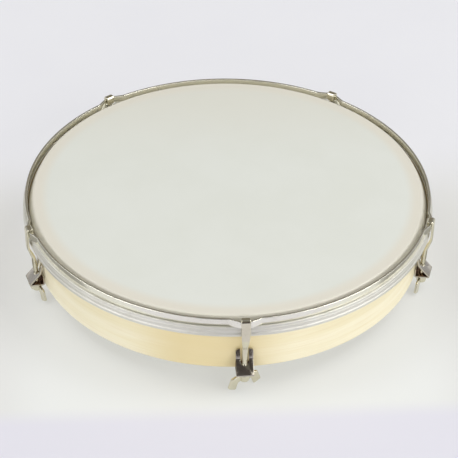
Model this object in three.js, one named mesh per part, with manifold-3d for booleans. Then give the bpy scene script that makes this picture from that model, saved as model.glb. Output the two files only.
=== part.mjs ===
// A tunable frame drum (bodhran type): a wooden shell, a film head in a metal flesh hoop,
// a flat steel counterhoop, and five hook bolts that wing nuts pull down against brackets.
// Millimetres, +Z up. The origin is the centre of the playing face.
import * as THREE from 'three';
import { mergeVertices } from 'three/addons/utils/BufferGeometryUtils.js';
import Module from 'manifold-3d';

const wasm = await Module();
wasm.setup();

// ---- Driving dimensions ----
const SHELL_RADIUS = 175;
const SHELL_WALL = 8;
const SHELL_BOTTOM = -57;
const FILM = 0.4;
const GAP = 0.3; // between pieces that touch on the real drum
const CLAWS = 5;
const FIRST_CLAW_OFF = 1.9; // degrees by which the first claw misses its even place
const RING_SIDES = 80; // a multiple of CLAWS, so that every claw faces one flat side

const BEARING_ROUND = 2; // rounding of the shell's outer top edge
const HOOP_INNER = 179.5; // counterhoop, a flat strip standing on edge
const HOOP_THICK = 2;
const HOOP_TOP = 1.2;
const HOOP_BOTTOM = -5.6;
const JOGGLE = 3.6; // how far the counterhoop steps outward under each hook
const JOGGLE_FLAT = 10;
const JOGGLE_RAMP = 9;

const FLESH_INNER = 176.3; // flesh hoop, an aluminium channel
const FLESH_OUTER = 183.3;
const FLESH_WALL = 1.3;
const FLESH_TOP = HOOP_BOTTOM - GAP;
const FLESH_BOTTOM = -15.4;
const TAIL_TOP = -8.1; // the film's collar turns straight down inside the flesh hoop
const TAIL_END = -12;

const STRAP = { width: 7.9, thick: 2 };
const ROD_RADIUS = 2.2;
const ROD_AT = 180.8; // distance of each rod's axis from the drum's axis
const ROD_END = -67;

const SHEET = 1.5; // bracket sheet
const BRACKET_WIDTH = 14.6;
const BRACKET_FLOOR = -58; // its underside, beside the shell
const FLOOR_RISE = 1.9; // the pull of the rod has lifted the floor's outer edge
const BRACKET_REACH = 188.9;
const BRACKET_FOLD = -45;
const BRACKET_TOP = -35;
const STAND_OFF = 2.9; // how far the fold stands off the shell, and less at the finger tips
const TIP_STAND_OFF = 0.4;
const BACK_TOP = -49.2; // top of the flap that the screw holds
const SLOT_WIDTH = 7.2;
const SCREW_RADIUS = 1.75;
const SCREW_HEAD_RADIUS = 2.5;
const SCREW_HEIGHT = -52.4;
const WASHER_RADIUS = 4;
const WASHER_THICK = 1;
const HEX_NUT_HEIGHT = 3;
const HEX_NUT_FLATS = 7; // distance across its flats

const HUB_HEIGHT = 7;
const NUT_HEIGHT = 14.3;
const NUT_SPAN = 30.8;
const NUT_REST_ANGLES = [114, 80, 40, 150, 104]; // each wing nut as it was left, in degrees

const SEAT = SHELL_RADIUS * Math.cos(Math.PI / RING_SIDES); // flat side of the shell
const INNER_SEAT = (SHELL_RADIUS - SHELL_WALL) * Math.cos(Math.PI / RING_SIDES);

// The claws follow each other counter-clockwise, from -Y.
const clawAngles = Array.from({ length: CLAWS }, (_, k) => {
  const off = k === 0 ? FIRST_CLAW_OFF : 0;
  return THREE.MathUtils.degToRad(-90 + (360 * k) / CLAWS + off);
});

// ---- Materials ----
const material = (name, color, roughness, metalness) =>
  new THREE.MeshStandardMaterial({ name, color, roughness, metalness });
const wood = material('pale_maple', 0xe3d2a5, 0.45, 0);
const film = material('coated_film', 0xddd9cc, 0.5, 0);
const resin = material('lock_resin', 0xb9a77c, 0.5, 0);
const aluminium = material('dull_aluminium', 0xb8b9b6, 0.4, 0.9);
const steel = material('nickel_plated_steel', 0xd6d2c6, 0.22, 1);

// ---- Helpers ----
const vec = (x, y) => new THREE.Vector2(x, y);

function mesh(name, geometry, surface) {
  const result = new THREE.Mesh(geometry, surface);
  result.name = name;
  return result;
}

function welded(geometry) {
  geometry.deleteAttribute('normal');
  geometry.deleteAttribute('uv');
  return mergeVertices(geometry, 1e-4);
}

function toManifold(geometry) {
  const clean = welded(geometry.index ? geometry : geometry.clone());
  return new wasm.Manifold(new wasm.Mesh({
    numProp: 3,
    vertProperties: new Float32Array(clean.attributes.position.array),
    triVerts: new Uint32Array(clean.index.array),
  }));
}

function toGeometry(solid) {
  const data = solid.getMesh();
  const geometry = new THREE.BufferGeometry();
  const points = new Float32Array(data.vertProperties);
  geometry.setAttribute('position', new THREE.BufferAttribute(points, 3));
  geometry.setIndex(new THREE.BufferAttribute(new Uint32Array(data.triVerts), 1));
  return geometry;
}

// base plus every geometry in joins, minus every geometry in cuts
function combine(base, cuts, joins = []) {
  let solid = toManifold(base);
  for (const piece of joins) {
    solid = solid.add(toManifold(piece));
  }
  for (const piece of cuts) {
    solid = solid.subtract(toManifold(piece));
  }
  return toGeometry(solid);
}

// A closed profile of (radius, height) points turned about Z. A flat side faces every claw.
function ring(profile) {
  const geometry = new THREE.LatheGeometry(
    [...profile, profile[0]], RING_SIDES, Math.PI / RING_SIDES,
  );
  geometry.rotateX(Math.PI / 2);
  return geometry;
}

// An arc of points about a centre, from one angle to another in degrees.
function arc(centreX, centreY, radius, from, to, steps) {
  const points = [];
  for (let i = 0; i <= steps; i++) {
    const angle = THREE.MathUtils.degToRad(from + (to - from) * i / steps);
    points.push(vec(centreX + radius * Math.cos(angle), centreY + radius * Math.sin(angle)));
  }
  return points;
}

// A straight round bar along Z, from one height to another.
function bar(radius, from, to, sides = 24) {
  const geometry = new THREE.CylinderGeometry(radius, radius, to - from, sides);
  geometry.rotateX(Math.PI / 2);
  geometry.translate(0, 0, (from + to) / 2);
  return geometry;
}

// The same bar lying along X, centred at a height.
function crossBar(radius, from, to, height, sides = 24) {
  const geometry = bar(radius, from, to, sides);
  geometry.rotateY(Math.PI / 2);
  geometry.translate(0, 0, height);
  return geometry;
}

// A skin over rings of points, closed at both ends or joined end to end.
function loft(sections, endToEnd = false) {
  const count = sections[0].length;
  const positions = sections.flat().flatMap((p) => [p.x, p.y, p.z]);
  const index = [];
  const spans = endToEnd ? sections.length : sections.length - 1;
  for (let s = 0; s < spans; s++) {
    const here = s * count;
    const next = ((s + 1) % sections.length) * count;
    for (let i = 0; i < count; i++) {
      const j = (i + 1) % count;
      index.push(here + i, here + j, next + j, here + i, next + j, next + i);
    }
  }
  if (!endToEnd) {
    const last = (sections.length - 1) * count;
    for (let i = 1; i < count - 1; i++) {
      index.push(0, i + 1, i, last, last + i, last + i + 1);
    }
  }
  const geometry = new THREE.BufferGeometry();
  geometry.setAttribute('position', new THREE.Float32BufferAttribute(positions, 3));
  geometry.setIndex(index);
  return geometry;
}

// The corner points of a path, each rounded to its own radius.
function rounded(points, radii, steps) {
  const result = [points[0]];
  for (let i = 1; i < points.length - 1; i++) {
    const radius = radii[i - 1];
    const back = points[i - 1].clone().sub(points[i]).normalize();
    const ahead = points[i + 1].clone().sub(points[i]).normalize();
    const half = Math.acos(back.dot(ahead)) / 2;
    const reach = radius / Math.tan(half);
    const start = points[i].clone().addScaledVector(back, reach);
    const end = points[i].clone().addScaledVector(ahead, reach);
    const centre = back.clone().add(ahead).normalize()
      .multiplyScalar(radius / Math.sin(half)).add(points[i]);
    for (let s = 0; s <= steps; s++) {
      const between = start.clone().lerp(end, s / steps).sub(centre).setLength(radius);
      result.push(centre.clone().add(between));
    }
  }
  result.push(points[points.length - 1]);
  return result;
}

// The outline of a sheet bent along a path.
function bentSheet(path, thickness) {
  const left = [];
  const right = [];
  path.forEach((point, i) => {
    const before = path[Math.max(i - 1, 0)];
    const after = path[Math.min(i + 1, path.length - 1)];
    const along = after.clone().sub(before).normalize();
    const side = vec(-along.y, along.x).multiplyScalar(thickness / 2);
    left.push(point.clone().add(side));
    right.push(point.clone().sub(side));
  });
  return new THREE.Shape([...left, ...right.reverse()]);
}

// An outline of (radius, height) points made into a plate of the given width about Y = 0.
function plate(shape, width) {
  const geometry = new THREE.ExtrudeGeometry(shape, { depth: width, bevelEnabled: false });
  geometry.rotateX(Math.PI / 2);
  geometry.translate(0, width / 2, 0);
  return geometry;
}

// ---- Shell, head and hoops ----
const roundCentre = vec(SHELL_RADIUS - BEARING_ROUND, -FILM - GAP - BEARING_ROUND);

function shellGeometry() {
  const inside = SHELL_RADIUS - SHELL_WALL;
  const easedEdge = 1;
  const profile = [
    ...arc(inside + easedEdge, SHELL_BOTTOM + easedEdge, easedEdge, 180, 270, 2),
    ...arc(SHELL_RADIUS - easedEdge, SHELL_BOTTOM + easedEdge, easedEdge, 270, 360, 2),
    ...arc(roundCentre.x, roundCentre.y, BEARING_ROUND, 0, 90, 3),
    ...arc(inside + easedEdge, -FILM - GAP - easedEdge, easedEdge, 90, 180, 2),
  ];
  const holes = clawAngles.map((angle) =>
    crossBar(SCREW_RADIUS + GAP, inside - 5, SHELL_RADIUS + 5, SCREW_HEIGHT).rotateZ(angle));
  return combine(ring(profile), holes);
}

function headGeometry() {
  // The film lies flat, turns over the shell's edge and runs down into the flesh hoop.
  const tail = FLESH_INNER + FLESH_WALL + GAP + FILM; // inner side of the tail
  const leave = 55; // degrees round the bearing edge at which the film leaves it
  const over = (radius, from, to) => arc(roundCentre.x, roundCentre.y, radius, from, to, 4);
  const inner = over(BEARING_ROUND + GAP, 90, 90 - leave);
  const outer = over(BEARING_ROUND + GAP + FILM, 90 - leave, 90);
  return ring([
    vec(0, -FILM),
    ...inner,
    vec(tail, TAIL_TOP - 0.2),
    vec(tail, TAIL_END),
    vec(tail + FILM, TAIL_END),
    vec(tail + FILM, TAIL_TOP),
    ...outer,
    vec(0, 0),
  ]);
}

function fleshHoopGeometry() {
  const groove = FLESH_INNER + FLESH_WALL;
  const mouth = 1.8;
  const lip = groove + mouth;
  const inside = FLESH_OUTER - FLESH_WALL;
  const innerTop = TAIL_TOP - GAP;
  const beadSize = 0.4; // a shallow bead runs round the outer wall
  const beadHeight = -8.9;
  const flare = { out: 0.7, from: 2.4, to: 3.4 }; // the lower band stands out a little
  const ease = 0.4;
  return ring([
    vec(FLESH_INNER, FLESH_BOTTOM),
    vec(FLESH_OUTER + flare.out, FLESH_BOTTOM),
    vec(FLESH_OUTER + flare.out, FLESH_BOTTOM + flare.from),
    vec(FLESH_OUTER, FLESH_BOTTOM + flare.to),
    vec(FLESH_OUTER, beadHeight - 2 * beadSize),
    vec(FLESH_OUTER + beadSize, beadHeight),
    vec(FLESH_OUTER, beadHeight + 2 * beadSize),
    vec(FLESH_OUTER, FLESH_TOP - ease),
    vec(FLESH_OUTER - ease, FLESH_TOP),
    vec(lip, FLESH_TOP),
    vec(lip, FLESH_TOP - FLESH_WALL),
    vec(inside, FLESH_TOP - FLESH_WALL),
    vec(inside, FLESH_BOTTOM + FLESH_WALL),
    vec(groove, FLESH_BOTTOM + FLESH_WALL),
    vec(groove, innerTop),
    vec(FLESH_INNER, innerTop),
  ]);
}

function beadGeometry() {
  // It fills the channel beside and below the film's tail.
  const inner = FLESH_INNER + FLESH_WALL + GAP;
  const beside = inner + 1.2;
  const outer = FLESH_OUTER - FLESH_WALL - GAP;
  const bottom = FLESH_BOTTOM + FLESH_WALL + GAP;
  const top = FLESH_TOP - FLESH_WALL - GAP;
  return ring([
    vec(inner, bottom),
    vec(outer, bottom),
    vec(outer, top),
    vec(beside, top),
    vec(beside, TAIL_END - GAP),
    vec(inner, TAIL_END - GAP),
  ]);
}

function counterhoopGeometry() {
  const side = (2 * Math.PI) / RING_SIDES;
  const sidesPerClaw = RING_SIDES / CLAWS;
  // One claw's share of the strip: [distance outward, distance along, turn about Z]
  const share = [
    [0, -JOGGLE_FLAT / 2 - JOGGLE_RAMP, 0],
    [JOGGLE, -JOGGLE_FLAT / 2, 0],
    [JOGGLE, JOGGLE_FLAT / 2, 0],
    [0, JOGGLE_FLAT / 2 + JOGGLE_RAMP, 0],
  ];
  for (let i = 1.5; i < sidesPerClaw - 1; i++) {
    share.push([0, 0, i * side]);
  }
  const sections = [];
  for (const angle of clawAngles) {
    for (const [out, along, turn] of share) {
      const section = [
        [HOOP_INNER, HOOP_BOTTOM], [HOOP_INNER + HOOP_THICK, HOOP_BOTTOM],
        [HOOP_INNER + HOOP_THICK, HOOP_TOP], [HOOP_INNER, HOOP_TOP],
      ];
      sections.push(section.map(([radius, height]) => {
        const across = out > 0 ? radius + out : Math.sqrt(radius ** 2 - along ** 2);
        const point = new THREE.Vector3(across, along, height);
        return point.applyAxisAngle(new THREE.Vector3(0, 0, 1), angle + turn);
      }));
    }
  }
  return loft(sections.reverse(), true);
}

// ---- One claw, built on the +X side of the drum ----
function hookGeometry() {
  const legAt = HOOP_INNER + JOGGLE - GAP - STRAP.thick / 2;
  const strapAt = legAt + STRAP.thick + HOOP_THICK + 2 * GAP;
  const bridge = HOOP_TOP + GAP + STRAP.thick / 2;
  const legEnd = -4;
  const bend = 0.9;
  const { width, thick } = STRAP;
  const round = 2 * ROD_RADIUS;
  const flat = 0.4; // 1 is an ellipse, and smaller is squarer
  // Stations along the hook, each [distance out, height, width, thickness, roundness]:
  // the inner leg, the bridge over the counterhoop, the tapering strap and the rod.
  const stations = [
    [legAt, legEnd, width - 1.4, thick - 0.6, flat],
    [legAt, legEnd + 0.8, width, thick, flat],
    [legAt, bridge - bend, width, thick, flat],
    [legAt + bend / 3, bridge - bend / 3, width, thick, flat],
    [legAt + bend, bridge, width, thick, flat],
    [strapAt - bend, bridge, width, thick, flat],
    [strapAt - bend / 3, bridge - bend / 3, width, thick, flat],
    [strapAt, bridge - bend, width, thick, flat],
    [strapAt, -16, 7.2, thick, flat],
    [strapAt - 0.4, -19, 6.6, thick + 0.1, flat],
    [ROD_AT + 1.8, -28, 5.2, 3.2, 0.7],
    [ROD_AT + 1, -31.5, 4.8, 3.8, 0.8],
    [ROD_AT + 0.2, -42, round, round, 1],
    [ROD_AT, -46, round, round, 1],
    [ROD_AT, ROD_END + 0.8, round, round, 1],
    [ROD_AT, ROD_END, round - 1.4, round - 1.4, 1],
  ];
  const corners = 12;
  const blend = (value, roundness) => Math.sign(value) * Math.abs(value) ** roundness;
  const sections = stations.map(([out, height, wide, deepest, roundness], s) => {
    const before = stations[Math.max(s - 1, 0)];
    const after = stations[Math.min(s + 1, stations.length - 1)];
    const along = vec(after[0] - before[0], after[1] - before[1]).normalize();
    const points = [];
    for (let i = 0; i < corners; i++) {
      const angle = (2 * Math.PI * (i + 0.5)) / corners;
      const across = (wide / 2) * blend(Math.cos(angle), roundness);
      const deep = (deepest / 2) * blend(Math.sin(angle), roundness);
      points.push(new THREE.Vector3(out + along.y * deep, across, height - along.x * deep));
    }
    return points;
  });
  return loft(sections.map((section) => section.reverse()));
}

function bracketGeometry() {
  // One strip: down the shell, back under itself, out along the floor and up the slope.
  const wall = SEAT + GAP + SHEET / 2;
  const floor = BRACKET_FLOOR + SHEET / 2;
  const path = rounded([
    vec(wall, BACK_TOP),
    vec(wall, floor),
    vec(BRACKET_REACH, floor + FLOOR_RISE),
    vec(wall + STAND_OFF, BRACKET_FOLD),
    vec(wall + TIP_STAND_OFF, BRACKET_TOP),
  ], [1, 1, 5], 4);
  // The slot is cut straight down through the slope and the two fingers, not the back flap.
  const slotTurn = ROD_AT + ROD_RADIUS + GAP - SLOT_WIDTH / 2;
  const slotBottom = floor + SHEET + FLOOR_RISE;
  const slotTop = BRACKET_TOP + 1;
  const height = slotTop - slotBottom;
  const slotBox = new THREE.BoxGeometry(slotTurn - SEAT, SLOT_WIDTH, height);
  slotBox.translate((slotTurn + SEAT) / 2, 0, slotBottom + height / 2);
  const slotEnd = bar(SLOT_WIDTH / 2, slotBottom, slotTop).translate(slotTurn, 0, 0);
  const flap = new THREE.BoxGeometry(SHEET + 0.2, SLOT_WIDTH, BACK_TOP - slotBottom);
  flap.translate(wall, 0, (BACK_TOP + slotBottom) / 2);
  const slot = toManifold(slotBox).add(toManifold(slotEnd)).subtract(toManifold(flap));
  const rodHole = bar(ROD_RADIUS + GAP, BRACKET_FLOOR - 1, slotBottom).translate(ROD_AT, 0, 0);
  const sheet = plate(bentSheet(path, SHEET), BRACKET_WIDTH);
  return combine(sheet, [toGeometry(slot), rodHole, countersunk(GAP, 1)]);
}

// The bracket screw's solid, grown by a clearance, with its head raised to cut a clear mouth.
function countersunk(clearance, raise) {
  const face = SEAT + GAP + SHEET;
  const pastNut = 1.4;
  const tip = INNER_SEAT - WASHER_THICK - HEX_NUT_HEIGHT - pastNut;
  const chamfer = 0.4;
  const sink = SCREW_HEAD_RADIUS - SCREW_RADIUS;
  const shank = SCREW_RADIUS + clearance;
  const head = SCREW_HEAD_RADIUS + clearance;
  const profile = [
    vec(0, tip),
    vec(shank - chamfer, tip),
    vec(shank, tip + chamfer),
    vec(shank, face - sink - clearance / 2),
    vec(head, face - clearance / 2),
    vec(head, face + raise),
    vec(0, face + raise),
  ];
  const geometry = new THREE.LatheGeometry(profile, 16);
  geometry.rotateZ(-Math.PI / 2);
  geometry.translate(0, 0, SCREW_HEIGHT);
  return geometry;
}

function screwGeometry() {
  const raise = 0.2;
  const face = SEAT + GAP + SHEET + raise;
  const recess = { deep: 0.8, long: 3, wide: 0.7 };
  const across = new THREE.BoxGeometry(recess.deep, recess.long, recess.wide);
  const upright = new THREE.BoxGeometry(recess.deep, recess.wide, recess.long);
  for (const cut of [across, upright]) {
    cut.translate(face, 0, SCREW_HEIGHT);
  }
  return combine(countersunk(0, raise), [across, upright]);
}

function washerGeometry() {
  const face = INNER_SEAT - GAP;
  const outer = crossBar(WASHER_RADIUS, face - WASHER_THICK, face, SCREW_HEIGHT);
  const bore = crossBar(SCREW_RADIUS + GAP, face - 2, face + 2, SCREW_HEIGHT, 16);
  return combine(outer, [bore]);
}

function hexNutGeometry() {
  const face = INNER_SEAT - WASHER_THICK - 2 * GAP;
  const far = face - HEX_NUT_HEIGHT;
  const outer = crossBar(HEX_NUT_FLATS / Math.sqrt(3), far, face, SCREW_HEIGHT, 6);
  const bore = crossBar(SCREW_RADIUS + GAP, far - 1, face + 1, SCREW_HEIGHT, 16);
  return combine(outer, [bore]);
}

// The wing nut hangs from z = 0, its bore on the Z axis and its wings along X.
function wingNutGeometry() {
  const hubProfile = [
    vec(0, -HUB_HEIGHT), vec(3.9, -HUB_HEIGHT), vec(4.3, -HUB_HEIGHT + 0.5),
    vec(5, -0.5), vec(4.6, 0), vec(0, 0),
  ];
  const hub = new THREE.LatheGeometry(hubProfile, 20);
  hub.rotateX(Math.PI / 2);
  const tip = NUT_SPAN / 2;
  const wing = new THREE.Shape();
  wing.moveTo(3, -0.9);
  wing.lineTo(8.6, -1.4);
  wing.quadraticCurveTo(11.6, -1.8, 12.8, -4.2);
  wing.lineTo(tip, -10.2);
  wing.quadraticCurveTo(tip + 0.1, -11.6, tip - 1.3, -12.3);
  wing.lineTo(10, -NUT_HEIGHT);
  wing.quadraticCurveTo(8.6, -NUT_HEIGHT, 7.8, -NUT_HEIGHT + 1.6);
  wing.quadraticCurveTo(6, -7.6, 3, -6);
  const right = plate(new THREE.Shape(wing.getPoints(3)), 2.2);
  const left = right.clone().rotateZ(Math.PI);
  const bore = bar(ROD_RADIUS + GAP, -HUB_HEIGHT - 5, 5, 20);
  return combine(hub, [bore], [right, left]);
}

// ---- Assembly ----
const group = new THREE.Group();
group.add(mesh('shell', shellGeometry(), wood));
group.add(mesh('drumhead', headGeometry(), film));
group.add(mesh('head_bead', beadGeometry(), resin));
group.add(mesh('flesh_hoop', fleshHoopGeometry(), aluminium));
group.add(mesh('counterhoop', counterhoopGeometry(), steel));

clawAngles.forEach((angle, k) => {
  const claw = new THREE.Group();
  claw.rotation.z = angle;
  claw.add(mesh(`bracket_${k + 1}`, bracketGeometry(), steel));
  claw.add(mesh(`bracket_screw_${k + 1}`, screwGeometry(), steel));
  claw.add(mesh(`screw_washer_${k + 1}`, washerGeometry(), steel));
  claw.add(mesh(`screw_nut_${k + 1}`, hexNutGeometry(), steel));
  claw.add(mesh(`hook_bolt_${k + 1}`, hookGeometry(), steel));
  const nut = mesh(`wing_nut_${k + 1}`, wingNutGeometry(), steel);
  nut.position.set(ROD_AT, 0, BRACKET_FLOOR - GAP);
  nut.rotation.z = THREE.MathUtils.degToRad(NUT_REST_ANGLES[k]);
  claw.add(nut);
  group.add(claw);
});

export default group;
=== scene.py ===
"""The looks of a tunable frame drum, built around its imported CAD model.

Lengths in this file are in millimetres unless a name says otherwise. Each claw is built once on
the +X side of the drum and turned into its five places.
"""

import math

import bmesh
import bpy
from mathutils import Matrix, Vector


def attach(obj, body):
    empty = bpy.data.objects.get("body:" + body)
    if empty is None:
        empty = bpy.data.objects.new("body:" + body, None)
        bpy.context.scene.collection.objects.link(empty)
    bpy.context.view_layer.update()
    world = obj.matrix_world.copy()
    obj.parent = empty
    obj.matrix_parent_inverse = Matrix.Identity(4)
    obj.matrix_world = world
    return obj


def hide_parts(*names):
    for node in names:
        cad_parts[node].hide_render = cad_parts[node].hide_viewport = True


MM = 0.001

# ---- The CAD model's dimensions ----
SHELL_RADIUS = 175.0
SHELL_WALL = 8.0
SHELL_BOTTOM = -57.0
FILM = 0.4
GAP = 0.3
CLAWS = 5
FIRST_CLAW_OFF = 1.9  # degrees
BEARING_ROUND = 2.0
HOOP_INNER = 179.5
HOOP_THICK = 2.0
HOOP_TOP = 1.2
HOOP_BOTTOM = -5.6
JOGGLE = 3.6
JOGGLE_FLAT = 10.0
JOGGLE_RAMP = 9.0
FLESH_INNER = 176.3
FLESH_OUTER = 183.3
FLESH_WALL = 1.3
FLESH_TOP = HOOP_BOTTOM - GAP
FLESH_BOTTOM = -15.4
TAIL_TOP = -8.1
TAIL_END = -12.0
STRAP_WIDTH = 7.9
STRAP_THICK = 2.0
ROD_RADIUS = 2.2
ROD_AT = 180.8
ROD_END = -67.0
SHEET = 1.5
BRACKET_WIDTH = 14.6
BRACKET_FLOOR = -58.0
FLOOR_RISE = 1.9
BRACKET_REACH = 188.9
BRACKET_FOLD = -45.0
BRACKET_TOP = -35.0
STAND_OFF = 2.9
TIP_STAND_OFF = 0.4
BACK_TOP = -49.2
SLOT_WIDTH = 7.2
SCREW_RADIUS = 1.75
SCREW_HEAD_RADIUS = 2.5
SCREW_HEIGHT = -52.4
WASHER_RADIUS = 4.0
WASHER_THICK = 1.0
HEX_NUT_HEIGHT = 3.0
HEX_NUT_FLATS = 7.0
HUB_HEIGHT = 7.0
NUT_HEIGHT = 14.3
NUT_SPAN = 30.8
NUT_REST_ANGLES = (114, 80, 40, 150, 104)
THREAD_PITCH = 0.8
RING_SIDES = 80
SEAT = SHELL_RADIUS * math.cos(math.pi / RING_SIDES)
INNER_SEAT = (SHELL_RADIUS - SHELL_WALL) * math.cos(math.pi / RING_SIDES)
FLOOR = BRACKET_FLOOR - GAP - NUT_HEIGHT
claw_angles = [math.radians(-90 + 360 * k / CLAWS + (FIRST_CLAW_OFF if k == 0 else 0))
               for k in range(CLAWS)]

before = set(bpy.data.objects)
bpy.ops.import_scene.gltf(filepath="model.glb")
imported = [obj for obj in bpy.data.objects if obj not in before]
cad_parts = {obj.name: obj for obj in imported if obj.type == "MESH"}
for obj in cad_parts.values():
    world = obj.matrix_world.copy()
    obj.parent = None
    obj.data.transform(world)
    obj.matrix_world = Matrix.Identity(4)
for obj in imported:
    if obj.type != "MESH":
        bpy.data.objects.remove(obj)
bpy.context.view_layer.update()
scene = bpy.context.scene


# ---- Mesh helpers ----
def clean(mesh):
    """Merges doubled points and turns the faces outwards."""
    work = bmesh.new()
    work.from_mesh(mesh)
    bmesh.ops.remove_doubles(work, verts=work.verts, dist=1e-6)
    bmesh.ops.dissolve_degenerate(work, edges=work.edges, dist=1e-7)
    bmesh.ops.recalc_face_normals(work, faces=work.faces)
    work.to_mesh(mesh)
    work.free()


def shade(mesh, sharp):
    """Smooth shading with edges over the given angle in degrees left sharp."""
    mesh.shade_smooth()
    mesh.set_sharp_from_angle(angle=math.radians(sharp))


def make(name, points, faces, material=None, sharp=35):
    mesh = bpy.data.meshes.new(name)
    mesh.from_pydata([Vector(p) * MM for p in points], [], faces)
    clean(mesh)
    shade(mesh, sharp)
    if material:
        mesh.materials.append(material)
    obj = bpy.data.objects.new(name, mesh)
    scene.collection.objects.link(obj)
    return obj


def joined(shapes):
    """Several (points, faces) pairs as one."""
    points, faces = [], []
    for more_points, more_faces in shapes:
        start = len(points)
        points += more_points
        faces += [tuple(start + i for i in face) for face in more_faces]
    return points, faces


def turned(profile, segments):
    """A closed (radius, height) outline turned about Z."""
    count = len(profile)
    points, faces = [], []
    for s in range(segments):
        angle = 2 * math.pi * s / segments
        points += [(r * math.cos(angle), r * math.sin(angle), z) for r, z in profile]
        here, there = s * count, (s + 1) % segments * count
        for i in range(count):
            j = (i + 1) % count
            faces.append((here + i, there + i, there + j, here + j))
    return points, faces


def swept(sections, endless=False):
    """A skin over rings of points, capped at both ends or joined end to end."""
    count = len(sections[0])
    points = [p for section in sections for p in section]
    faces = []
    for s in range(len(sections) if endless else len(sections) - 1):
        here, there = s * count, (s + 1) % len(sections) * count
        for i in range(count):
            j = (i + 1) % count
            faces.append((here + i, here + j, there + j, there + i))
    if not endless:
        faces.append(tuple(range(count)))
        faces.append(tuple(range(len(points) - count, len(points))))
    return points, faces


def eased(corners, radius, steps=3, closed=True):
    """The corners of an outline of (x, y) points rounded, by one radius or by one for each."""
    result = []
    count = len(corners)
    radii = radius if isinstance(radius, list) else [radius] * count
    for i, corner in enumerate(corners):
        here = Vector(corner)
        if not closed and i in (0, count - 1):
            result.append(here)
            continue
        back = Vector(corners[i - 1]) - here
        ahead = Vector(corners[(i + 1) % count]) - here
        half = back.angle(ahead) / 2
        reach = min(radii[i] / math.tan(half), 0.45 * back.length, 0.45 * ahead.length)
        start = here + back.normalized() * reach
        end = here + ahead.normalized() * reach
        for s in range(steps + 1):
            t = s / steps
            result.append(start * (1 - t) ** 2 + here * 2 * t * (1 - t) + end * t ** 2)
    return result


def offset(path, distance):
    """A path moved sideways by a distance, to its left."""
    result = []
    for i, point in enumerate(path):
        along = (path[min(i + 1, len(path) - 1)] - path[max(i - 1, 0)]).normalized()
        result.append(point + Vector((-along.y, along.x)) * distance)
    return result


def plate(outline, width):
    """An outline of (radius, height) points made into a plate of the given width about Y = 0."""
    sections = [[(x, side * width / 2, z) for x, z in outline] for side in (-1, 1)]
    return swept(sections)


def rod(radius, start, end, segments=32):
    """A round bar between two points."""
    start, end = Vector(start), Vector(end)
    turn = (end - start).to_track_quat("Z", "Y").to_matrix()
    sections = []
    for centre in (start, end):
        section = []
        for i in range(segments):
            angle = 2 * math.pi * i / segments
            section.append(centre + turn @ Vector((math.cos(angle), math.sin(angle), 0)) * radius)
        sections.append(section)
    return swept(sections)


def block(low, high):
    sections = [
        [(low[0], low[1], z), (high[0], low[1], z), (high[0], high[1], z), (low[0], high[1], z)]
        for z in (low[2], high[2])
    ]
    return swept(sections)


def modify(obj, kind, **settings):
    modifier = obj.modifiers.new(kind.title(), kind)
    for key, value in settings.items():
        setattr(modifier, key, value)


def apply(obj, sharp=35):
    """Makes the modifiers' result the object's own mesh."""
    evaluated = obj.evaluated_get(bpy.context.evaluated_depsgraph_get())
    mesh = bpy.data.meshes.new_from_object(evaluated)
    obj.modifiers.clear()
    obj.data = mesh
    shade(mesh, sharp)


def boolean(obj, shape, operation="DIFFERENCE", sharp=35):
    """Cuts a (points, faces) shape from an object, or joins it on."""
    cutter = make("cutter", *shape)
    modify(obj, "BOOLEAN", object=cutter, operation=operation, solver="EXACT")
    apply(obj, sharp)
    bpy.data.objects.remove(cutter)


# ---- Material helpers ----
def material(name, **sockets):
    """A Principled material, with its fixed numbers and colours on the shader's sockets."""
    made = bpy.data.materials.new(name)
    made.use_nodes = True
    shader = made.node_tree.nodes["Principled BSDF"]
    for key, value in sockets.items():
        shader.inputs[key.replace("_", " ")].default_value = value
    return made, made.node_tree, shader


def node(tree, kind, inputs=None, **settings):
    made = tree.nodes.new("ShaderNode" + kind)
    for key, value in settings.items():
        setattr(made, key, value)
    for key, value in (inputs or {}).items():
        if isinstance(value, bpy.types.NodeSocket):
            tree.links.new(value, made.inputs[key])
        else:
            made.inputs[key].default_value = value
    return made


def maths(tree, operation, first, second=0.0, third=0.0):
    inputs = {0: first, 1: second, 2: third}
    return node(tree, "Math", inputs, operation=operation).outputs[0]


def spread(tree, value, low, high, low_out=0.0, high_out=1.0):
    """A value's range mapped smoothly onto another."""
    inputs = {"Value": value, "From Min": low, "From Max": high,
              "To Min": low_out, "To Max": high_out}
    return node(tree, "MapRange", inputs, interpolation_type="SMOOTHSTEP").outputs[0]


def mixed(tree, share, first, second):
    """Two colours mixed by a share."""
    made = node(tree, "Mix", {"Factor": share}, data_type="RGBA")
    for socket, value in ((made.inputs[6], first), (made.inputs[7], second)):
        if isinstance(value, bpy.types.NodeSocket):
            tree.links.new(value, socket)
        else:
            socket.default_value = value
    return made.outputs[2]


def noise(tree, vector, scale, detail=3.0, roughness=0.5):
    inputs = {"Vector": vector, "Scale": scale, "Detail": detail, "Roughness": roughness}
    return node(tree, "TexNoise", inputs).outputs["Fac"]


def stretched(tree, vector, scale):
    return node(tree, "Mapping", {"Vector": vector, "Scale": scale}).outputs["Vector"]


def place(tree):
    """Object coordinates in metres."""
    return node(tree, "TexCoord").outputs["Object"]


def axes(tree):
    """The X, Y and Z of the object coordinates, in metres."""
    return node(tree, "SeparateXYZ", {"Vector": place(tree)}).outputs


def from_axis(tree):
    """Distance from the drum's axis in metres."""
    parts = axes(tree)
    squares = [maths(tree, "MULTIPLY", parts[name], parts[name]) for name in "XY"]
    return maths(tree, "SQRT", maths(tree, "ADD", *squares))


def along_ring(tree, radius_m):
    """Distance round a ring of the given radius, in metres from the +X side."""
    parts = axes(tree)
    return maths(tree, "MULTIPLY", maths(tree, "ARCTAN2", parts["Y"], parts["X"]), radius_m)


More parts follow.
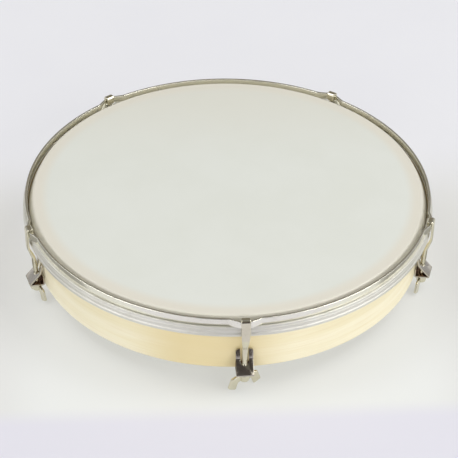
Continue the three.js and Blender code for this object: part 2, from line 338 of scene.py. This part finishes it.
def round_place(tree, radius_m):
    """Coordinates that follow a ring: (distance round it, distance from the axis, height)."""
    inputs = {"X": along_ring(tree, radius_m), "Y": from_axis(tree), "Z": axes(tree)["Z"]}
    return node(tree, "CombineXYZ", inputs).outputs["Vector"]


def bump(tree, shader, height, distance_mm, strength=1.0):
    made = node(tree, "Bump", {"Height": height, "Distance": distance_mm * MM,
                               "Strength": strength})
    tree.links.new(made.outputs["Normal"], shader.inputs["Normal"])


def srgb(red, green, blue):
    """An sRGB colour of 0 to 255 as linear values."""
    def linear(value):
        value /= 255
        return value / 12.92 if value <= 0.04045 else ((value + 0.055) / 1.055) ** 2.4
    return (linear(red), linear(green), linear(blue), 1.0)


# ---- Materials ----
HOOP_M = 0.18  # the radius in metres at which the lines round the hoops are drawn


def wood_material():
    """Pale maple with fine grain running round the shell and plies on its edge."""
    made, tree, shader = material("pale_maple", Coat_Weight=0.12, Coat_Roughness=0.3)
    ring_m = 0.171
    spot = round_place(tree, ring_m)
    bands = noise(tree, stretched(tree, spot, (5, 60, 70)), 1.0, 4, 0.55)
    grain = noise(tree, stretched(tree, spot, (22, 900, 1100)), 1.0, 4, 0.65)
    flecks = noise(tree, stretched(tree, spot, (140, 1200, 2600)), 1.0, 2, 0.5)
    tone = mixed(tree, spread(tree, bands, 0.35, 0.7), srgb(245, 237, 208), srgb(239, 229, 192))
    # Painted shade: one darker, yellower patch of the wood lies this far round the shell, in metres.
    shade_patch_at, shade_patch_edge, shade_patch_core = -0.292, 0.075, 0.02
    beside = maths(tree, "ABSOLUTE", maths(tree, "SUBTRACT", along_ring(tree, ring_m), shade_patch_at))
    shade_patch = spread(tree, beside, shade_patch_edge, shade_patch_core, 0.0, 0.75)
    tone = mixed(tree, shade_patch, tone, srgb(222, 203, 148))
    tone = mixed(tree, spread(tree, grain, 0.42, 0.75, 0.0, 0.4), tone, srgb(226, 207, 160))
    tone = mixed(tree, spread(tree, flecks, 0.66, 0.8, 0.0, 0.35), tone, srgb(196, 166, 116))
    # Five plies show on the shell's flat lower edge, with a dark glue line between each two.
    plies = 5
    into_wall = maths(tree, "SUBTRACT", from_axis(tree), (SHELL_RADIUS - SHELL_WALL) * MM)
    ply = maths(tree, "MULTIPLY", into_wall, plies / (SHELL_WALL * MM))
    share = maths(tree, "FRACT", ply)
    glue = spread(tree, maths(tree, "ABSOLUTE", maths(tree, "SUBTRACT", share, 0.5)), 0.42, 0.49)
    half = maths(tree, "FRACT", maths(tree, "MULTIPLY", ply, 0.5))
    even = maths(tree, "GREATER_THAN", half, 0.5)
    edge = mixed(tree, even, srgb(228, 208, 160), srgb(206, 178, 126))
    edge = mixed(tree, glue, edge, srgb(140, 104, 66))
    normal = node(tree, "SeparateXYZ", {"Vector": node(tree, "NewGeometry").outputs["Normal"]})
    level = spread(tree, maths(tree, "ABSOLUTE", normal.outputs["Z"]), 0.55, 0.8)
    colour = mixed(tree, level, tone, edge)
    tree.links.new(colour, shader.inputs["Base Color"])
    tree.links.new(spread(tree, grain, 0.3, 0.8, 0.36, 0.56), shader.inputs["Roughness"])
    bump(tree, shader, maths(tree, "ADD", grain, maths(tree, "MULTIPLY", flecks, 0.5)), 0.05, 0.6)
    return made


def film_material():
    """Coated film: off-white, creamier at the far side, and creamier and darker near the hoop over
    the shell's edge, partly its own tint there and partly painted shade.
    """
    made, tree, shader = material("coated_film", Coat_Weight=0.05, Coat_Roughness=0.35)
    flat = place(tree)
    clouds = noise(tree, flat, 14, 3, 0.5)
    tooth = noise(tree, flat, 2600, 2, 0.6)
    scuffs = noise(tree, stretched(tree, flat, (30, 420, 1)), 1.0, 4, 0.7)
    # Near the hoop the film is coloured creamier and darker: partly its tint over the shell's edge,
    # partly painted shade.
    edge_tint_and_shade = spread(tree, from_axis(tree), 0.159, 0.1695)
    tone = mixed(tree, spread(tree, clouds, 0.3, 0.7), srgb(219, 221, 213), srgb(216, 218, 209))
    far_side = spread(tree, axes(tree)["Y"], 0.03, 0.17, 0.0, 0.7)
    tone = mixed(tree, far_side, tone, srgb(214, 212, 199))
    tone = mixed(tree, spread(tree, scuffs, 0.62, 0.85, 0.0, 0.2), tone, srgb(214, 213, 201))
    colour = mixed(tree, edge_tint_and_shade, tone, srgb(217, 213, 199))
    tree.links.new(colour, shader.inputs["Base Color"])
    tree.links.new(spread(tree, clouds, 0.3, 0.75, 0.42, 0.52), shader.inputs["Roughness"])
    bump(tree, shader, tooth, 0.03, 0.35)
    return made


def resin_material():
    made, tree, shader = material("lock_resin")
    lumps = noise(tree, place(tree), 500, 3, 0.5)
    colour = mixed(tree, lumps, srgb(196, 176, 130), srgb(168, 146, 100))
    tree.links.new(colour, shader.inputs["Base Color"])
    tree.links.new(spread(tree, lumps, 0.3, 0.7, 0.35, 0.55), shader.inputs["Roughness"])
    bump(tree, shader, lumps, 0.1, 0.5)
    return made


def aluminium_material():
    """Dull rolled aluminium, with fine lines from rolling round the hoop."""
    made, tree, shader = material("dull_aluminium", Metallic=1.0)
    lines = noise(tree, stretched(tree, round_place(tree, HOOP_M), (9, 1800, 2200)), 1.0, 3, 0.6)
    haze = noise(tree, place(tree), 60, 4, 0.6)
    colour = mixed(tree, haze, srgb(234, 233, 226), srgb(220, 218, 208))
    tree.links.new(colour, shader.inputs["Base Color"])
    blur = maths(tree, "ADD", spread(tree, lines, 0.3, 0.7, 0.5, 0.6),
                 spread(tree, haze, 0.4, 0.8, 0.0, 0.12))
    tree.links.new(blur, shader.inputs["Roughness"])
    bump(tree, shader, lines, 0.02, 0.5)
    return made


def nickel_material(name, strip, clear, cloudy):
    """Nickel plating of two tones. On the strip the polishing lines run round the drum."""
    made, tree, shader = material(name, Metallic=1.0)
    haze = noise(tree, place(tree), 90, 4, 0.6)
    spots = noise(tree, place(tree), 700, 2, 0.5)
    if strip:
        lined = stretched(tree, round_place(tree, HOOP_M), (14, 900, 1500))
    else:
        lined = stretched(tree, place(tree), (1400, 1400, 90))
    lines = noise(tree, lined, 1.0, 3, 0.6)
    colour = mixed(tree, haze, clear, cloudy)
    colour = mixed(tree, spread(tree, spots, 0.66, 0.8, 0.0, 0.5), colour, srgb(150, 134, 108))
    tree.links.new(colour, shader.inputs["Base Color"])
    blur = maths(tree, "ADD", spread(tree, lines, 0.3, 0.7, 0.13, 0.22),
                 spread(tree, haze, 0.4, 0.8, 0.0, 0.1))
    tree.links.new(blur, shader.inputs["Roughness"])
    bump(tree, shader, lines, 0.01, 0.4)
    return made, tree, shader


def bracket_material():
    """Nickel plating, with painted shade inside the fold: its inner faces are coloured dark brown."""
    made, tree, shader = nickel_material(
        "bracket_plating", False, srgb(204, 199, 188), srgb(188, 180, 166))
    away, height = from_axis(tree), axes(tree)["Z"]
    sheet = SHEET * MM
    wall = (SEAT + GAP) * MM + sheet
    length = BRACKET_REACH - SEAT - GAP
    rise = FLOOR_RISE / length
    slope = (BRACKET_FOLD - BRACKET_FLOOR - FLOOR_RISE) / (length - STAND_OFF)
    risen = maths(tree, "MULTIPLY", maths(tree, "SUBTRACT", away, SEAT * MM), rise)
    above_floor = maths(tree, "SUBTRACT", height, BRACKET_FLOOR * MM)
    above_floor = maths(tree, "SUBTRACT", above_floor, risen)
    slope_foot = (BRACKET_FLOOR + FLOOR_RISE + SHEET / 2) * MM
    over = maths(tree, "MULTIPLY", maths(tree, "SUBTRACT", BRACKET_REACH * MM, away), slope)
    under_slope = maths(tree, "SUBTRACT", over, maths(tree, "SUBTRACT", height, slope_foot))
    # Painted shade: the faces inside the fold, between flap, floor and slope, are coloured dark
    # brown.
    inside = spread(tree, away, wall - 0.4 * MM, wall - 0.1 * MM)
    for inwards, low, high in ((above_floor, 0.6, 1.0), (under_slope, 0.2, 0.7)):
        inside = maths(tree, "MULTIPLY", inside, spread(tree, inwards, low * sheet, high * sheet))
    plated = shader.inputs["Base Color"].links[0].from_socket
    colour = mixed(tree, inside, plated, srgb(112, 82, 59))
    tree.links.new(colour, shader.inputs["Base Color"])
    return made


def floor_material():
    """A pale sheet lit a little from below: cool behind and along its front, with painted shade at
    its sides.
    """
    made, tree, shader = material("pale_floor", Roughness=0.6, Emission_Strength=1.1)
    mottle = noise(tree, place(tree), 9, 3, 0.5)
    colour = mixed(tree, mottle, srgb(168, 168, 170), srgb(165, 165, 168))
    across, depth = axes(tree)["X"], axes(tree)["Y"]
    near = spread(tree, depth, 0.05, -0.05)
    colour = mixed(tree, near, colour, srgb(166, 167, 165))
    # Painted shade: beside the drum the floor is coloured darker, fading out far behind.
    aside = spread(tree, maths(tree, "ABSOLUTE", across), 0.15, 0.22)
    side_shade = maths(tree, "MULTIPLY", aside, spread(tree, depth, 0.18, 0.05))
    colour = mixed(tree, side_shade, colour, srgb(160, 160, 158))
    front_strip = spread(tree, depth, -0.2, -0.225)
    colour = mixed(tree, front_strip, colour, srgb(160, 159, 165))
    tree.links.new(colour, shader.inputs["Base Color"])
    tree.links.new(colour, shader.inputs["Emission Color"])
    return made


def flag_material(name, light, dark):
    made, tree, shader = material(name, Roughness=0.9)
    weave = noise(tree, place(tree), 900, 2, 0.5)
    colour = mixed(tree, weave, light, dark)
    tree.links.new(colour, shader.inputs["Base Color"])
    return made


WOOD = wood_material()
FILM_COAT = film_material()
RESIN = resin_material()
ALUMINIUM = aluminium_material()
STRIP = nickel_material("nickel_strip", True, srgb(245, 244, 232), srgb(237, 234, 220))[0]
NICKEL = nickel_material("nickel_plating", False, srgb(230, 226, 206), srgb(214, 207, 184))[0]
DARK_STEEL = nickel_material("dark_steel", False, srgb(120, 108, 92), srgb(98, 86, 70))[0]
BRACKET_PLATE = bracket_material()


# ---- Shell, head and hoops ----
def arc(centre, radius, start, end, steps):
    """Points on an arc between two angles in degrees."""
    points = []
    for s in range(steps + 1):
        angle = math.radians(start + (end - start) * s / steps)
        points.append(Vector((centre[0] + radius * math.cos(angle),
                              centre[1] + radius * math.sin(angle))))
    return points


def build_shell():
    """The wooden hoop, with rounded edges and a hole for each bracket screw."""
    inside = SHELL_RADIUS - SHELL_WALL
    top = -FILM - GAP
    ease = 1.0
    profile = [
        *arc((inside + ease, SHELL_BOTTOM + ease), ease, 180, 270, 5),
        *arc((SHELL_RADIUS - ease, SHELL_BOTTOM + ease), ease, 270, 360, 5),
        (SHELL_RADIUS, -40), (SHELL_RADIUS, -25),
        *arc((SHELL_RADIUS - BEARING_ROUND, top - BEARING_ROUND), BEARING_ROUND, 0, 90, 8),
        *arc((inside + ease, top - ease), ease, 90, 180, 5),
        (inside, -25), (inside, -40),
    ]
    shell = make("wooden_shell", *turned(profile, 360), WOOD)
    holes = []
    for angle in claw_angles:
        out = Vector((math.cos(angle), math.sin(angle), 0))
        height = Vector((0, 0, SCREW_HEIGHT))
        holes.append(rod(SCREW_RADIUS + GAP, out * (inside - 5) + height,
                         out * (SHELL_RADIUS + 5) + height))
    boolean(shell, joined(holes))
    return shell


def build_head():
    """The film: flat across, over the bearing edge, and down into the flesh hoop."""
    centre = (SHELL_RADIUS - BEARING_ROUND, -FILM - GAP - BEARING_ROUND)
    leave = 55
    tail = FLESH_INNER + FLESH_WALL + GAP + FILM
    under, over = BEARING_ROUND + GAP, BEARING_ROUND + GAP + FILM
    profile = [
        (0, -FILM), (50, -FILM), (100, -FILM), (150, -FILM),
        *arc(centre, under, 90, 90 - leave, 8),
        (tail, TAIL_TOP - 0.2), (tail, TAIL_END), (tail + FILM, TAIL_END),
        (tail + FILM, TAIL_TOP),
        *arc(centre, over, 90 - leave, 90, 8),
        (150, 0), (100, 0), (50, 0), (0, 0),
    ]
    return make("film_head", *turned(profile, 240), FILM_COAT)


def build_flesh_hoop():
    """A channel open at its top and inside, with a bead round it and a flared foot."""
    groove = FLESH_INNER + FLESH_WALL
    lip = groove + 1.8
    inside = FLESH_OUTER - FLESH_WALL
    inner_top = TAIL_TOP - GAP
    bead, bead_height = 0.4, -8.9
    flare = 0.7
    foot, shoulder = FLESH_BOTTOM + 2.4, FLESH_BOTTOM + 3.4
    profile = [
        (FLESH_INNER, FLESH_BOTTOM),
        (FLESH_OUTER + flare, FLESH_BOTTOM),
        (FLESH_OUTER + flare, foot),
        (FLESH_OUTER, shoulder),
        (FLESH_OUTER, bead_height - 2 * bead),
        (FLESH_OUTER + bead, bead_height),
        (FLESH_OUTER, bead_height + 2 * bead),
        (FLESH_OUTER, FLESH_TOP),
        (lip, FLESH_TOP),
        (lip, FLESH_TOP - FLESH_WALL),
        (inside, FLESH_TOP - FLESH_WALL),
        (inside, FLESH_BOTTOM + FLESH_WALL),
        (groove, FLESH_BOTTOM + FLESH_WALL),
        (groove, inner_top),
        (FLESH_INNER, inner_top),
    ]
    return make("flesh_hoop_ring", *turned(eased(profile, 0.4), 360), ALUMINIUM, sharp=50)


def build_counterhoop():
    """A flat strip on edge. It steps outward under each hook, with a crease at each bend."""
    flat, foot = JOGGLE_FLAT / 2, JOGGLE_FLAT / 2 + JOGGLE_RAMP
    soft = 0.7
    clear = math.asin((foot + 4) / HOOP_INNER)
    corners = eased([
        (HOOP_INNER, HOOP_BOTTOM), (HOOP_INNER + HOOP_THICK, HOOP_BOTTOM),
        (HOOP_INNER + HOOP_THICK, HOOP_TOP), (HOOP_INNER, HOOP_TOP),
    ], 0.35)

    def reach(radius, along):
        """How far out the strip is at a distance along from the hook."""
        base = math.sqrt(radius ** 2 - foot ** 2)
        if abs(along) >= foot:
            return math.sqrt(radius ** 2 - along ** 2)
        share = min(1, (foot - abs(along)) / JOGGLE_RAMP)
        return base + (radius + JOGGLE - base) * share

    marks = [-foot - 2, -foot - soft, -foot, -foot + soft, -flat - soft, -flat, -flat + soft]
    marks += [-mark for mark in reversed(marks)]
    sections = []
    for k, angle in enumerate(claw_angles):
        start = angle + clear
        end = claw_angles[(k + 1) % CLAWS] - clear
        end += 2 * math.pi if end < start else 0
        for along in marks:
            section = []
            for radius, height in corners:
                near = (reach(radius, along - soft) + reach(radius, along + soft)) / 2
                point = Vector(((near + reach(radius, along)) / 2, along, height))
                section.append(Matrix.Rotation(angle, 3, "Z") @ point)
            sections.append(section)
        steps = 60
        for s in range(steps + 1):
            turn = start + (end - start) * s / steps
            sections.append([(r * math.cos(turn), r * math.sin(turn), z) for r, z in corners])
    return make("counterhoop_strip", *swept(sections, True), STRIP, sharp=50)


# ---- One claw ----
def between(keys, place_along):
    """A value that runs smoothly through (distance, value) keys."""
    if place_along <= keys[0][0]:
        return keys[0][1]
    for (here, value), (there, following) in zip(keys, keys[1:]):
        if place_along <= there:
            t = (place_along - here) / (there - here)
            t = t * t * (3 - 2 * t)
            return value + (following - value) * t
    return keys[-1][1]


def build_hook():
    """The strap that hooks over the counterhoop, narrows, bends in and becomes a threaded rod."""
    leg_at = HOOP_INNER + JOGGLE - GAP - STRAP_THICK / 2
    strap_at = leg_at + STRAP_THICK + HOOP_THICK + 2 * GAP
    bridge = HOOP_TOP + GAP + STRAP_THICK / 2
    leg_end, half_way, thread_start = -4, -12, -47
    sharp_bend, slow_bend = 1.3, 6
    head = eased([(leg_at, leg_end), (leg_at, bridge), (strap_at, bridge), (strap_at, half_way)],
                 sharp_bend, 8, closed=False)
    shank = eased([(strap_at, half_way), (strap_at, -18), (ROD_AT + 1.4, -29.5), (ROD_AT, -44),
                   (ROD_AT, thread_start)], slow_bend, 10, closed=False)
    line = head + shank[1:]
    path = []
    for a, b in zip(line, line[1:]):
        pieces = max(1, round((b - a).length / 0.8))
        path += [a.lerp(b, i / pieces) for i in range(pieces)]
    thread_from = path[-1].y
    steps = round((thread_from - ROD_END) / (THREAD_PITCH / 8))
    path += [Vector((ROD_AT, thread_from + (ROD_END - thread_from) * i / steps))
             for i in range(steps + 1)]
    # Each key: distance below the bridge, then width, thickness and squareness.
    widths = [(0, STRAP_WIDTH), (18, 7.2), (22, 6.5), (31, 5.1), (42, 4.4)]
    depths = [(0, STRAP_THICK), (21, STRAP_THICK), (31, 3.3), (42, 4.4)]
    squareness = [(0, 0.32), (21, 0.36), (31, 0.7), (40, 1.0)]
    around = 40
    taper = 8  # rings over which the hook's inner end narrows
    groove_depth, thread_crest = 0.3, 0.12
    sections = []
    for i, point in enumerate(path):
        along = (path[min(i + 1, len(path) - 1)] - path[max(i - 1, 0)]).normalized()
        below = 0 if point.x < strap_at - 1 and point.y > -6 else bridge - point.y
        width, depth = between(widths, below), between(depths, below)
        power = between(squareness, below)
        if i < taper:
            shrink = 1 - 0.18 * (1 - i / taper) ** 2
            width, depth = width * shrink, depth * shrink
        section = []
        for j in range(around):
            angle = 2 * math.pi * (j + 0.5) / around
            c, s = math.cos(angle), math.sin(angle)
            across = width / 2 * math.copysign(abs(c) ** power, c)
            deep = depth / 2 * math.copysign(abs(s) ** power, s)
            if point.y < thread_from + 0.01:
                wave = (point.y / THREAD_PITCH + angle / (2 * math.pi)) % 1
                groove = groove_depth * (1 - abs(2 * wave - 1))
                start = min(1, (thread_from - point.y) / 1.6)
                end = min(1, (point.y - ROD_END) / 1.2)
                scale = 1 + (thread_crest * start - groove * start) / ROD_RADIUS
                scale *= 0.82 + 0.18 * end
                across, deep = across * scale, deep * scale
            section.append((point.x + along.y * deep, across, point.y - along.x * deep))
        sections.append(section)
    return make("hook_shape", *swept(sections), NICKEL, sharp=60)


def build_bracket():
    """A folded strip: flap on the shell, floor, slope with a slot, and two fingers."""
    wall = SEAT + GAP + SHEET / 2
    floor = BRACKET_FLOOR + SHEET / 2
    path = eased([(wall, BACK_TOP), (wall, floor), (BRACKET_REACH, floor + FLOOR_RISE),
                  (wall + STAND_OFF, BRACKET_FOLD), (wall + TIP_STAND_OFF, BRACKET_TOP)],
                 [0, 1.2, 1.1, 5, 0], 8, closed=False)
    outline = offset(path, SHEET / 2) + offset(path, -SHEET / 2)[::-1]
    bracket = make("bracket_shape", *plate(outline, BRACKET_WIDTH), BRACKET_PLATE)
    slot_turn = ROD_AT + ROD_RADIUS + GAP - SLOT_WIDTH / 2
    bottom, top = floor + SHEET + FLOOR_RISE, BRACKET_TOP + 1
    half = SLOT_WIDTH / 2
    boolean(bracket, block((wall + SHEET / 2 + 0.1, -half, bottom), (slot_turn, half, BACK_TOP)))
    boolean(bracket, block((SEAT - 1, -half, BACK_TOP + 0.01), (slot_turn, half, top)))
    boolean(bracket, rod(half, (slot_turn, 0, bottom), (slot_turn, 0, top), 48))
    boolean(bracket, rod(ROD_RADIUS + GAP, (ROD_AT, 0, bottom), (ROD_AT, 0, bottom - 6)))
    boolean(bracket, rod(SCREW_HEAD_RADIUS + GAP, (SEAT - 1, 0, SCREW_HEIGHT),
                         (wall + 3, 0, SCREW_HEIGHT)))
    for side in (-1, 1):
        outer = side * BRACKET_WIDTH / 2
        corner = 2.2
        inward = -side * corner
        notch = [(outer + side, BRACKET_TOP + 1), (outer + side, BRACKET_TOP - corner)]
        notch += [(outer + inward * (1 - math.cos(a)), BRACKET_TOP - corner * (1 - math.sin(a)))
                  for a in (math.pi / 2 * i / 8 for i in range(9))]
        notch += [(outer + inward, BRACKET_TOP + 1)]
        sections = [[(x, y, z) for y, z in notch] for x in (SEAT - 1, wall + 4)]
        boolean(bracket, swept(sections))
    modify(bracket, "BEVEL", width=0.18 * MM, segments=2, limit_method="ANGLE",
           angle_limit=math.radians(40))
    apply(bracket, 30)
    return bracket


def lying(profile, segments):
    """A (radius, distance out) outline turned about the screw's own line."""
    points, faces = turned(profile, segments)
    return [(z, y, SCREW_HEIGHT - x) for x, y, z in points], faces


def build_screw():
    """A countersunk screw with a cross recess, lying along X through the shell."""
    face = SEAT + GAP + SHEET
    tip = INNER_SEAT - WASHER_THICK - HEX_NUT_HEIGHT - 1.4
    sink = SCREW_HEAD_RADIUS - SCREW_RADIUS
    profile = [
        (0, tip), (SCREW_RADIUS - 0.4, tip), (SCREW_RADIUS, tip + 0.4),
        (SCREW_RADIUS, face - sink), (SCREW_HEAD_RADIUS, face), (SCREW_HEAD_RADIUS - 0.1, face + 0.1),
        (1.6, face + 0.2), (0, face + 0.2),
    ]
    screw = make("screw_shape", *lying(profile, 48), DARK_STEEL)
    for wide, tall in ((0.7, 3.0), (3.0, 0.7)):
        boolean(screw, block((face - 0.2, -wide / 2, SCREW_HEIGHT - tall / 2),
                             (face + 1, wide / 2, SCREW_HEIGHT + tall / 2)))
    return screw


def build_washer():
    """The plain washer on the shell's inside."""
    face = INNER_SEAT - GAP
    outline = [(SCREW_RADIUS + GAP, face - WASHER_THICK), (WASHER_RADIUS, face - WASHER_THICK),
               (WASHER_RADIUS, face), (SCREW_RADIUS + GAP, face)]
    return make("washer_shape", *lying(eased(outline, 0.2), 64), NICKEL)


def build_hex_nut():
    """A hexagon nut with chamfered corners."""
    near = INNER_SEAT - WASHER_THICK - 2 * GAP
    far = near - HEX_NUT_HEIGHT
    corner = HEX_NUT_FLATS / math.sqrt(3)
    sections = []
    for x in (far, near):
        sections.append([(x, corner * math.cos(math.pi / 3 * i),
                          SCREW_HEIGHT + corner * math.sin(math.pi / 3 * i)) for i in range(6)])
    nut = make("hex_nut_shape", *swept(sections), NICKEL)
    face, brim, chamfer = HEX_NUT_FLATS / 2 - 0.1, corner + 0.4, 0.75
    profile = [(0, far - 0.01), (face, far - 0.01), (brim, far + chamfer),
               (brim, near - chamfer), (face, near + 0.01), (0, near + 0.01)]
    boolean(nut, lying(profile, 64), "INTERSECT", 25)
    boolean(nut, rod(SCREW_RADIUS + GAP, (far - 2, 0, SCREW_HEIGHT), (near + 2, 0, SCREW_HEIGHT)),
            sharp=25)
    return nut


def build_wing_nut():
    """A cast wing nut. It hangs from its own zero height, with its wings along X."""
    hub = turned([(0, 0), (4.7, 0), (5, -0.4), (4.3, -HUB_HEIGHT + 0.4), (3.9, -HUB_HEIGHT),
                  (0, -HUB_HEIGHT)], 48)
    tip = NUT_SPAN / 2
    outline = eased([(3, -0.9), (8.8, -1.4), (12.4, -2.4), (13, -4.4), (tip + 0.1, -11.6),
                     (10, -NUT_HEIGHT), (8.4, -NUT_HEIGHT), (6.6, -8), (3, -6)], 1.6, 6)
    right = plate([(p.x, p.y) for p in outline], 2.2)
    left = ([(-x, -y, z) for x, y, z in right[0]], right[1])
    nut = make("wing_nut_shape", *hub, NICKEL)
    wings = make("wings", *joined([right, left]))
    modify(nut, "BOOLEAN", object=wings, operation="UNION", solver="EXACT")
    modify(nut, "REMESH", mode="VOXEL", voxel_size=0.28 * MM)
    modify(nut, "SMOOTH", factor=0.5, iterations=5)
    apply(nut)
    bpy.data.objects.remove(wings)
    bore = rod(ROD_RADIUS + GAP, (0, 0, 3), (0, 0, -HUB_HEIGHT - 3), 48)
    boolean(nut, bore, sharp=40)
    return nut


def copies(pattern, name, node_name, body, place_one):
    """Five objects that share a shape, each riding on its body and standing for its CAD node."""
    for k in range(CLAWS):
        piece = bpy.data.objects.new(name.format(k + 1), pattern.data)
        scene.collection.objects.link(piece)
        piece.matrix_world = place_one(k)
        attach(piece, body.format(k + 1))
        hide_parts(node_name.format(k + 1))
    bpy.data.objects.remove(pattern)


def at_claw(k):
    return Matrix.Rotation(claw_angles[k], 4, "Z")


def at_nut(k):
    down = Matrix.Translation(Vector((ROD_AT, 0, BRACKET_FLOOR - GAP)) * MM)
    return at_claw(k) @ down @ Matrix.Rotation(math.radians(NUT_REST_ANGLES[k]), 4, "Z")


for piece, cad_node, slot in (
    (build_shell(), "shell", "pale_maple"),
    (build_head(), "drumhead", "coated_film"),
    (build_flesh_hoop(), "flesh_hoop", "dull_aluminium"),
    (build_counterhoop(), "counterhoop", "nickel_plated_steel"),
):
    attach(piece, "drum")
    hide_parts(cad_node)

copies(build_bracket(), "claw_bracket_{}", "bracket_{}", "drum", at_claw)
copies(build_screw(), "cross_screw_{}", "bracket_screw_{}", "drum", at_claw)
copies(build_washer(), "plain_washer_{}", "screw_washer_{}", "drum", at_claw)
copies(build_hex_nut(), "hex_nut_{}", "screw_nut_{}", "drum", at_claw)
copies(build_hook(), "claw_hook_{}", "hook_bolt_{}", "hook_{}", at_claw)
copies(build_wing_nut(), "claw_wing_nut_{}", "wing_nut_{}", "nut_{}", at_nut)

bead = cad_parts["head_bead"]
bead.data.materials.clear()
bead.data.materials.append(RESIN)

# ---- Floor, lights and camera. Names ending in _m are in metres. ----
FLOOR_REACH = 6000
floor_corners = [(x * FLOOR_REACH, y * FLOOR_REACH, FLOOR)
                 for x, y in ((-1, -1), (1, -1), (1, 1), (-1, 1))]
floor = make("floor", floor_corners, [(0, 1, 2, 3)], floor_material())


def aim(obj, place_m, target_m):
    obj.location = place_m
    back = Vector(place_m) - Vector(target_m)
    obj.rotation_mode = "QUATERNION"
    obj.rotation_quaternion = back.to_track_quat("Z", "Y")


def softbox(name, place_m, target_m, size_m, watts, colour=(1, 1, 1)):
    light = bpy.data.lights.new(name, "AREA")
    light.shape = "RECTANGLE"
    light.size, light.size_y = size_m
    light.energy = watts
    light.color = colour
    obj = bpy.data.objects.new(name, light)
    scene.collection.objects.link(obj)
    aim(obj, place_m, target_m)


softbox("key", (2.0, -1.5, 1.1), (0, 0, 0), (1.9, 1.4), 24.5, (1, 0.995, 0.98))
softbox("left_fill", (-1.9, -1.5, 0.9), (0, 0, 0), (1.9, 1.3), 15)
softbox("overhead_right", (1.2, 0.2, 1.9), (0, 0.1, 0), (0.8, 1.2), 18)
softbox("overhead_left", (-1.1, 0.3, 1.9), (0, 0.1, 0), (0.8, 1.2), 14)
softbox("front_low", (0.2, -2.0, 0.7), (0, 0, 0), (1.6, 0.5), 9)


def flag(name, corners, cloth):
    """A cloth card that only reflections show."""
    card = make(name, corners, [(0, 1, 2, 3)], cloth)
    card.visible_camera = False
    card.visible_diffuse = False
    card.visible_shadow = False
    card.visible_transmission = False


def dark_flags():
    """A dark card stands low in front, and a grey one lies on the floor at each side."""
    near, wide, low, high = -340, 90, FLOOR + 1, 160
    dark = flag_material("dark_cloth", srgb(58, 42, 34), srgb(44, 32, 26))
    flag("front_flag", [(-wide, near, low), (wide, near, low), (wide, near, high),
                        (-wide, near, high)], dark)
    inner, outer, front, back = 200, 300, -135, -5
    grey = flag_material("grey_cloth", srgb(158, 156, 150), srgb(150, 148, 143))
    for name, side in (("left_flag", -1), ("right_flag", 1)):
        corners = [(side * inner, front, low), (side * outer, front, low),
                   (side * outer, back, low), (side * inner, back, low)]
        flag(name, corners, grey)


def studio_world():
    """A pale room. It is dark above and behind the drum, and dark where the viewer stands."""
    world = bpy.data.worlds.new("studio")
    scene.world = world
    world.use_nodes = True
    tree = world.node_tree
    ray = node(tree, "TexCoord").outputs["Generated"]

    def towards(direction, wide, narrow):
        """How nearly a ray points in a direction: 0 outside one angle and 1 inside another."""
        made = node(tree, "VectorMath", {0: ray, 1: Vector(direction).normalized()},
                    operation="DOT_PRODUCT")
        return spread(tree, made.outputs["Value"], math.cos(math.radians(wide)),
                      math.cos(math.radians(narrow)))

    up = node(tree, "SeparateXYZ", {"Vector": ray}).outputs["Z"]
    tone = mixed(tree, spread(tree, up, 0.3, 0.9), (0.94, 0.95, 1.0, 1), (0.5, 0.51, 0.55, 1))
    tone = mixed(tree, towards((0, 0.79, 0.61), 24, 12), tone, (0.42, 0.385, 0.32, 1))
    tone = mixed(tree, towards((0, -0.62, 0.78), 44, 28), tone, (0.32, 0.3, 0.26, 1))
    background = tree.nodes["Background"]
    tree.links.new(tone, background.inputs["Color"])
    background.inputs["Strength"].default_value = 0.55


dark_flags()
studio_world()

camera_data = bpy.data.cameras.new("camera")
camera_data.lens = 127.3
camera_data.sensor_width = 36
camera = bpy.data.objects.new("camera", camera_data)
scene.collection.objects.link(camera)
scene.camera = camera
azimuth, elevation, roll = math.radians(-3.16), math.radians(37.66), math.radians(0.81)
distance_m, sideways, height = 1.483, 1.4, -46.4
target = Vector((sideways * math.cos(azimuth), sideways * math.sin(azimuth), height)) * MM
back = Vector((math.sin(azimuth) * math.cos(elevation), -math.cos(azimuth) * math.cos(elevation),
               math.sin(elevation)))
level_view = (-back).to_track_quat("-Z", "Y").to_matrix()
camera.location = target + back * distance_m
camera.rotation_mode = "QUATERNION"
camera.rotation_quaternion = (level_view @ Matrix.Rotation(roll, 3, "Z")).to_quaternion()

scene.view_settings.view_transform = "Standard"
